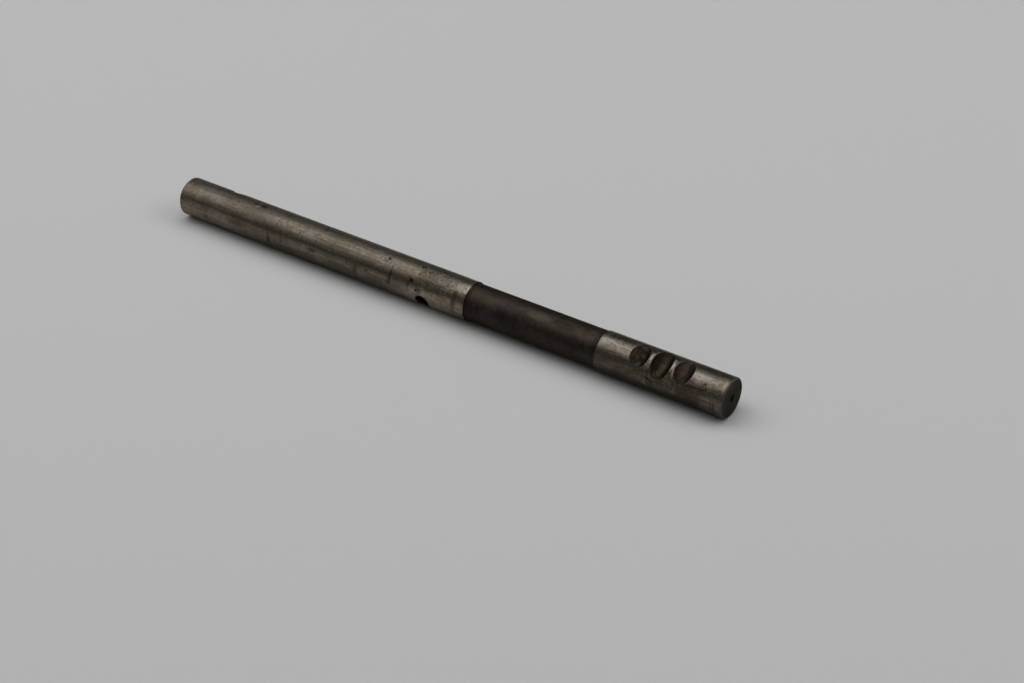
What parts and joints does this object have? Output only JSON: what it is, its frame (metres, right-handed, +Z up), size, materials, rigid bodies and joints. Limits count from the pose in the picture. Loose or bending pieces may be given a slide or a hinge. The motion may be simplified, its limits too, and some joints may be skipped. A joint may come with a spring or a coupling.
{
  "type": "gearbox selector rail",
  "caption": "Slim round stepped shaft that slides to shift gears, with a long journal, a relieved waist, a cross hole for the fork pin and scooped detent notches.",
  "frame": {"origin": "middle of the bar's length, on the surface it lies on", "axes": "+X along the bar towards the end with the detents, +Z up, -Y the side that the detents lean to"},
  "size_m": [0.2566, 0.016, 0.016],
  "materials": {
    "steel": "ground and worn, with stains, fine pits and a dull brown waist"
  },
  "bodies": {
    "root": {"selector_rail": "steel"}
  },
  "joints": []
}
